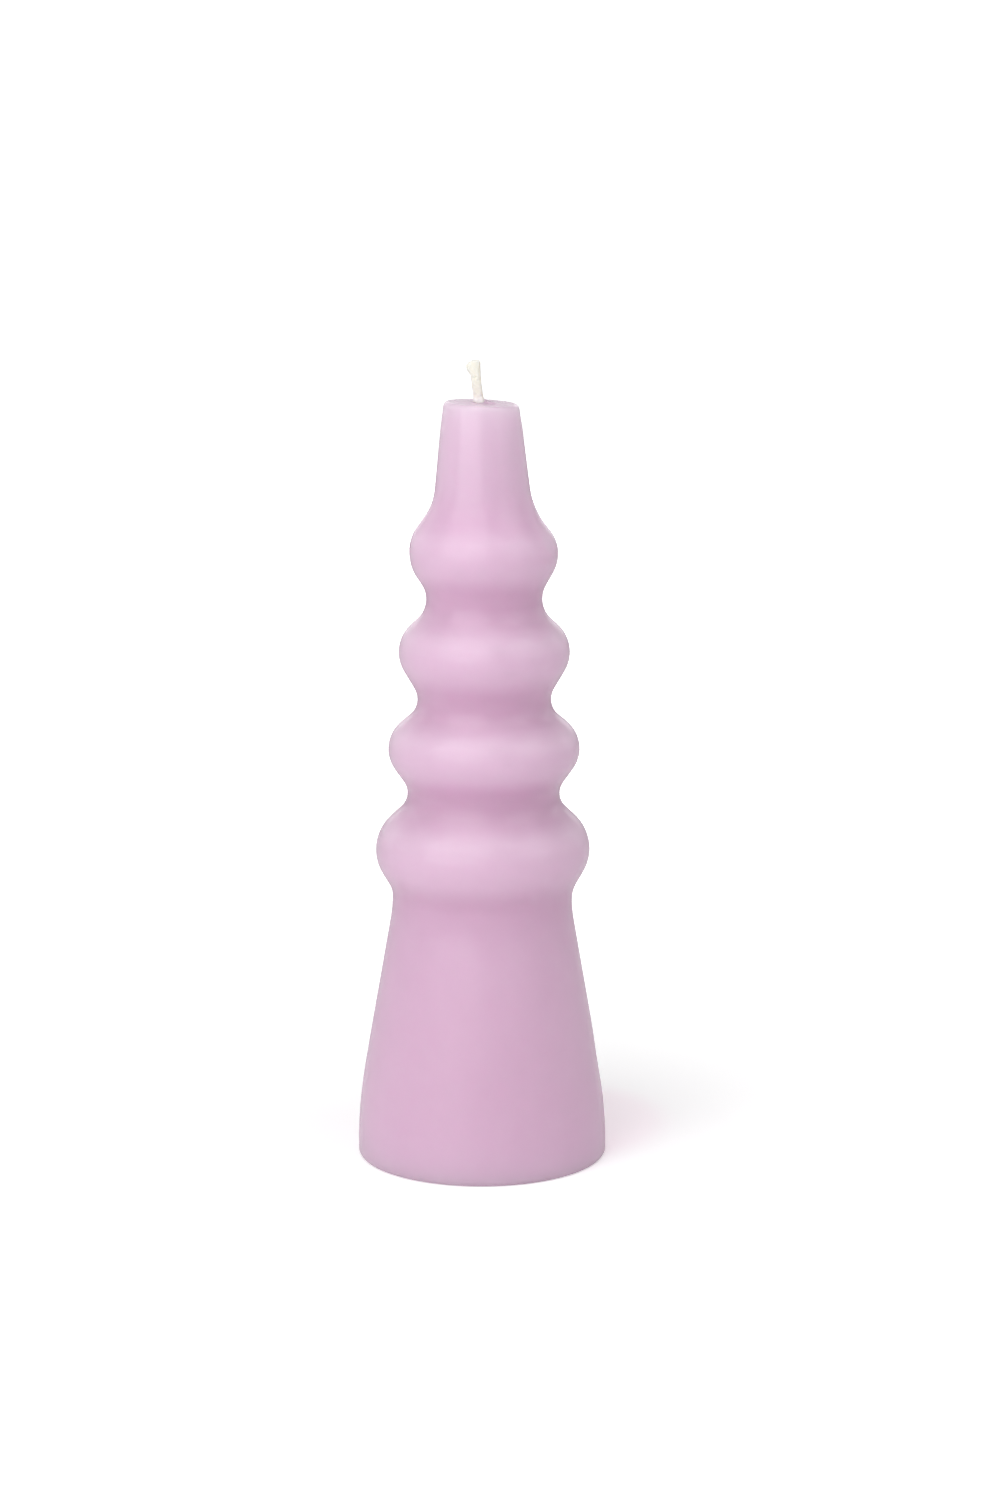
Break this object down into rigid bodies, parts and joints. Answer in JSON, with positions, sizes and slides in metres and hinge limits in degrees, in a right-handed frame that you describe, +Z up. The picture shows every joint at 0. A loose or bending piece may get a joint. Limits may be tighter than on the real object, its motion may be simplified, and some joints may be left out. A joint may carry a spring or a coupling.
{
  "type": "totem candle",
  "caption": "Tall moulded pillar candle: wide skirted foot, stacked round rings that shrink upwards, slim neck and a short braided wick held by a metal tab in the flat base.",
  "frame": {"origin": "centre of the base, on the surface that the candle stands on", "axes": "+Z up along the candle's axis to the wick; the wick's tip leans to -X; the pictured side faces -Y"},
  "size_m": [0.0592, 0.0592, 0.1896],
  "materials": {
    "wax": "satin lilac wax, slightly translucent",
    "cotton": "cream cotton braid",
    "tinplate": "thin pressed tinplate"
  },
  "bodies": {
    "root": {"wax_body": "wax", "wick": "cotton", "wick_tab": "tinplate"}
  },
  "joints": []
}
